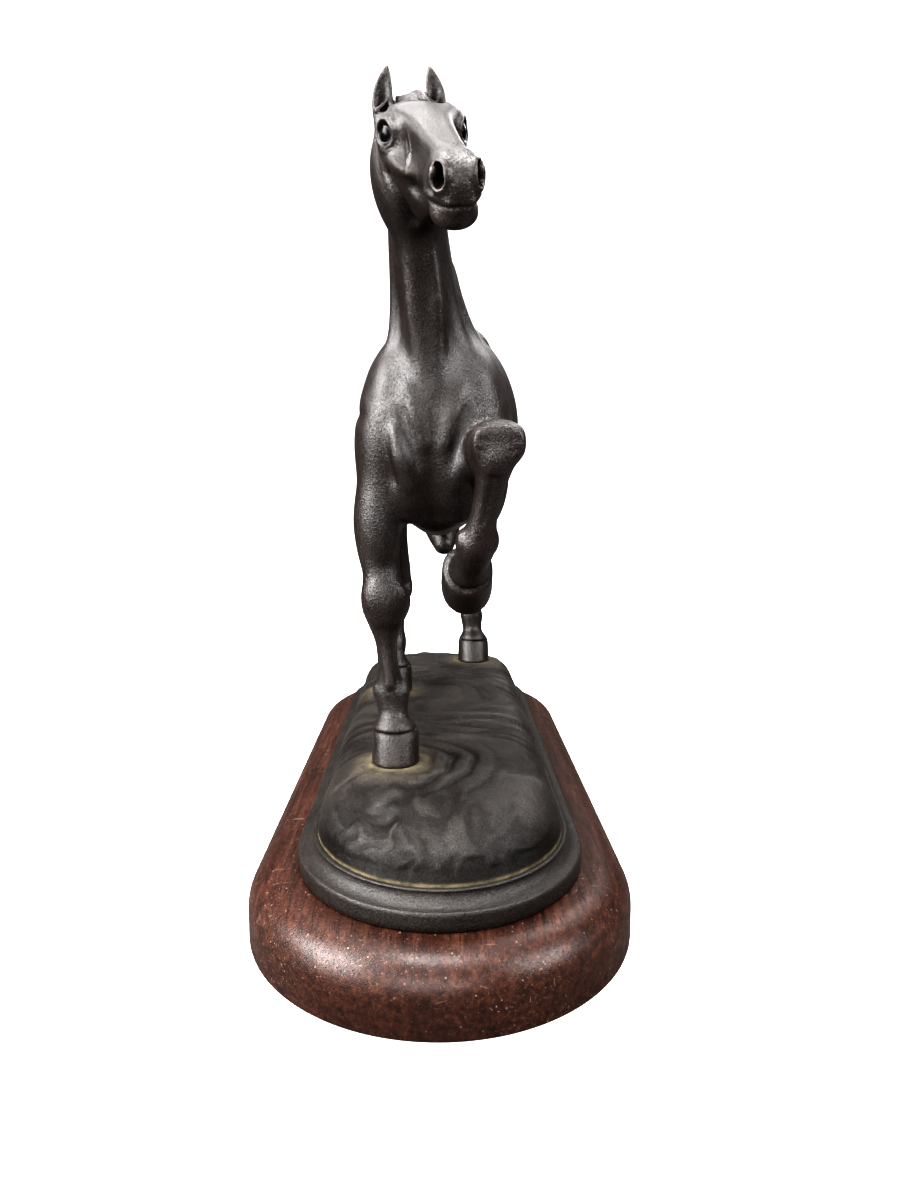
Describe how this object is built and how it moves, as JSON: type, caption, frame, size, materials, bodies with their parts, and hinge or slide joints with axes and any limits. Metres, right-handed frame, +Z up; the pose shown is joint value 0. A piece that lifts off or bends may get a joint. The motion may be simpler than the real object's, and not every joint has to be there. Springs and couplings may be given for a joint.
{
  "type": "bronze horse statue",
  "caption": "Cast horse stepping out with one foreleg raised, on rockwork within a stepped moulding, fixed to an oval wood plinth.",
  "frame": {"origin": "centre of the flat underside of the plinth", "axes": "+Z up; the horse faces -Y; +X is the horse's left side"},
  "size_m": [0.15, 0.404, 0.3111],
  "materials": {
    "horse_bronze": "dark brown patinated cast bronze, satin wax, soft highlights",
    "base_bronze": "dark brown patinated cast bronze with greenish residue in the creases",
    "mahogany": "red-brown mahogany, fine grain, worn satin polish",
    "baize": "dark green baize, matted pile",
    "fastener_steel": "dull zinc-plated steel"
  },
  "bodies": {
    "root": {"base_felt": "baize", "base_moulding": "base_bronze", "horse_body": "horse_bronze", "left_foreleg": "horse_bronze", "left_foreleg_pin": "horse_bronze", "left_hind_leg": "horse_bronze", "left_hind_leg_pin": "horse_bronze", "left_hind_nut": "fastener_steel", "left_hind_stud": "fastener_steel", "left_hind_washer": "fastener_steel", "plinth_bolt_1": "fastener_steel", "plinth_bolt_2": "fastener_steel", "plinth_bolt_3": "fastener_steel", "plinth_bolt_4": "fastener_steel", "plinth_washer_1": "fastener_steel", "plinth_washer_2": "fastener_steel", "plinth_washer_3": "fastener_steel", "plinth_washer_4": "fastener_steel", "right_fore_nut": "fastener_steel", "right_fore_stud": "fastener_steel", "right_fore_washer": "fastener_steel", "right_foreleg": "horse_bronze", "right_foreleg_pin": "horse_bronze", "right_hind_leg": "horse_bronze", "right_hind_leg_pin": "horse_bronze", "right_hind_nut": "fastener_steel", "right_hind_stud": "fastener_steel", "right_hind_washer": "fastener_steel", "rock_terrain": "base_bronze", "tail": "horse_bronze", "tail_pin": "horse_bronze", "wood_plinth": "mahogany"}
  },
  "joints": []
}
